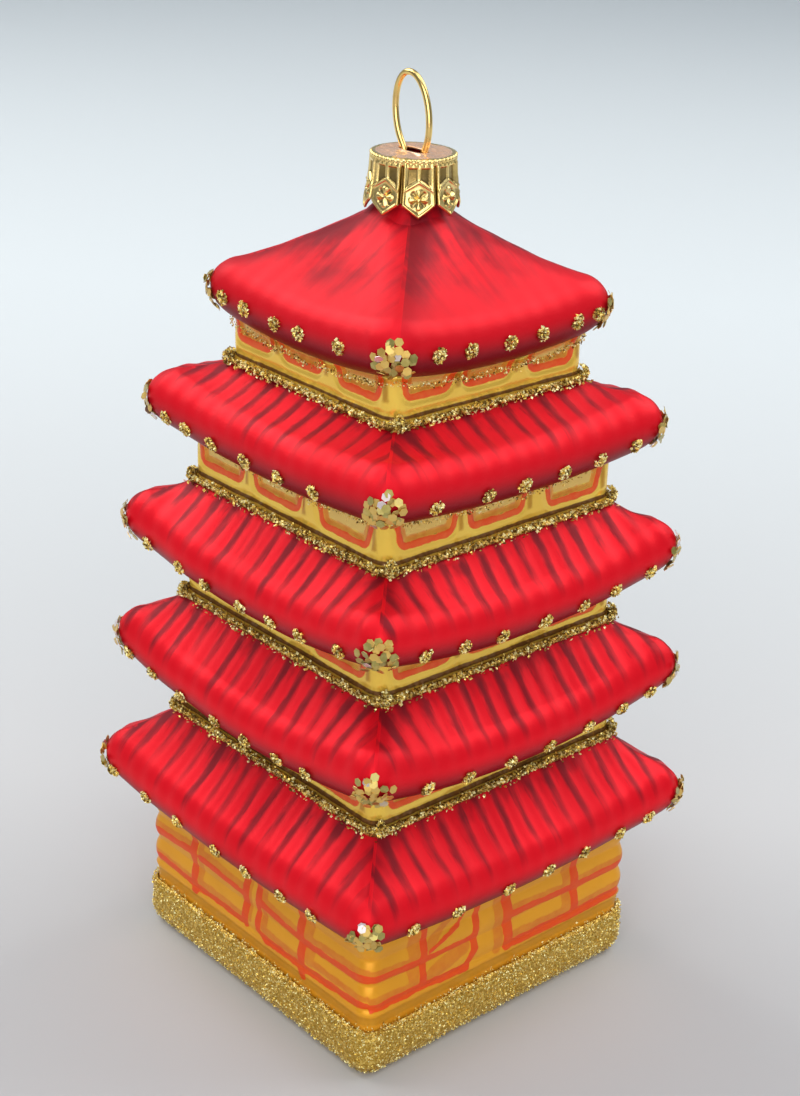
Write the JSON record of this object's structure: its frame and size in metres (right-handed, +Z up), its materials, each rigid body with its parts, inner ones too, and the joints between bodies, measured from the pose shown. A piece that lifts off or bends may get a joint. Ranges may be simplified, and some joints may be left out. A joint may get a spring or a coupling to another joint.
{
  "type": "blown-glass pagoda tree ornament",
  "caption": "Hollow blown-glass tree ornament shaped as a five-storey pagoda with hipped roofs, glitter bands, sequin corners, a stamped crown cap and a wire loop.",
  "frame": {"origin": "middle of the flat underside, at the height that the ornament stands on", "axes": "+Z up through the neck, cap and loop; walls face +X, -X, +Y and -Y; the wire loop lies in the XZ plane"},
  "size_m": [0.0654, 0.0654, 0.1357],
  "materials": {
    "red_satin_glass": "silvered inside, satin red lacquer on the roofs and gold lacquer on the walls",
    "gold_glitter": "fine gold glitter grit in clear glue",
    "gold_sequins": "small six-sided metallised sequins in clear glue",
    "stamped_gold_cap": "bright gold-coloured stamped sheet with a pinkish crinkled top",
    "gold_wire": "bright gold-coloured spring wire"
  },
  "bodies": {
    "root": {"glass_body": "red_satin_glass", "base_glitter_band": "gold_glitter", "storey2_glitter_band": "gold_glitter", "storey3_glitter_band": "gold_glitter", "storey4_glitter_band": "gold_glitter", "storey5_glitter_band": "gold_glitter", "storey4_eave_glitter_line": "gold_glitter", "storey5_eave_glitter_line": "gold_glitter", "roof1_sequins_front": "gold_sequins", "roof1_sequins_right": "gold_sequins", "roof1_sequins_back": "gold_sequins", "roof1_sequins_left": "gold_sequins", "roof2_sequins_front": "gold_sequins", "roof2_sequins_right": "gold_sequins", "roof2_sequins_back": "gold_sequins", "roof2_sequins_left": "gold_sequins", "roof3_sequins_front": "gold_sequins", "roof3_sequins_right": "gold_sequins", "roof3_sequins_back": "gold_sequins", "roof3_sequins_left": "gold_sequins", "roof4_sequins_front": "gold_sequins", "roof4_sequins_right": "gold_sequins", "roof4_sequins_back": "gold_sequins", "roof4_sequins_left": "gold_sequins", "roof5_sequins_front": "gold_sequins", "roof5_sequins_right": "gold_sequins", "roof5_sequins_back": "gold_sequins", "roof5_sequins_left": "gold_sequins", "cap": "stamped_gold_cap", "hanger": "gold_wire"}
  },
  "joints": []
}
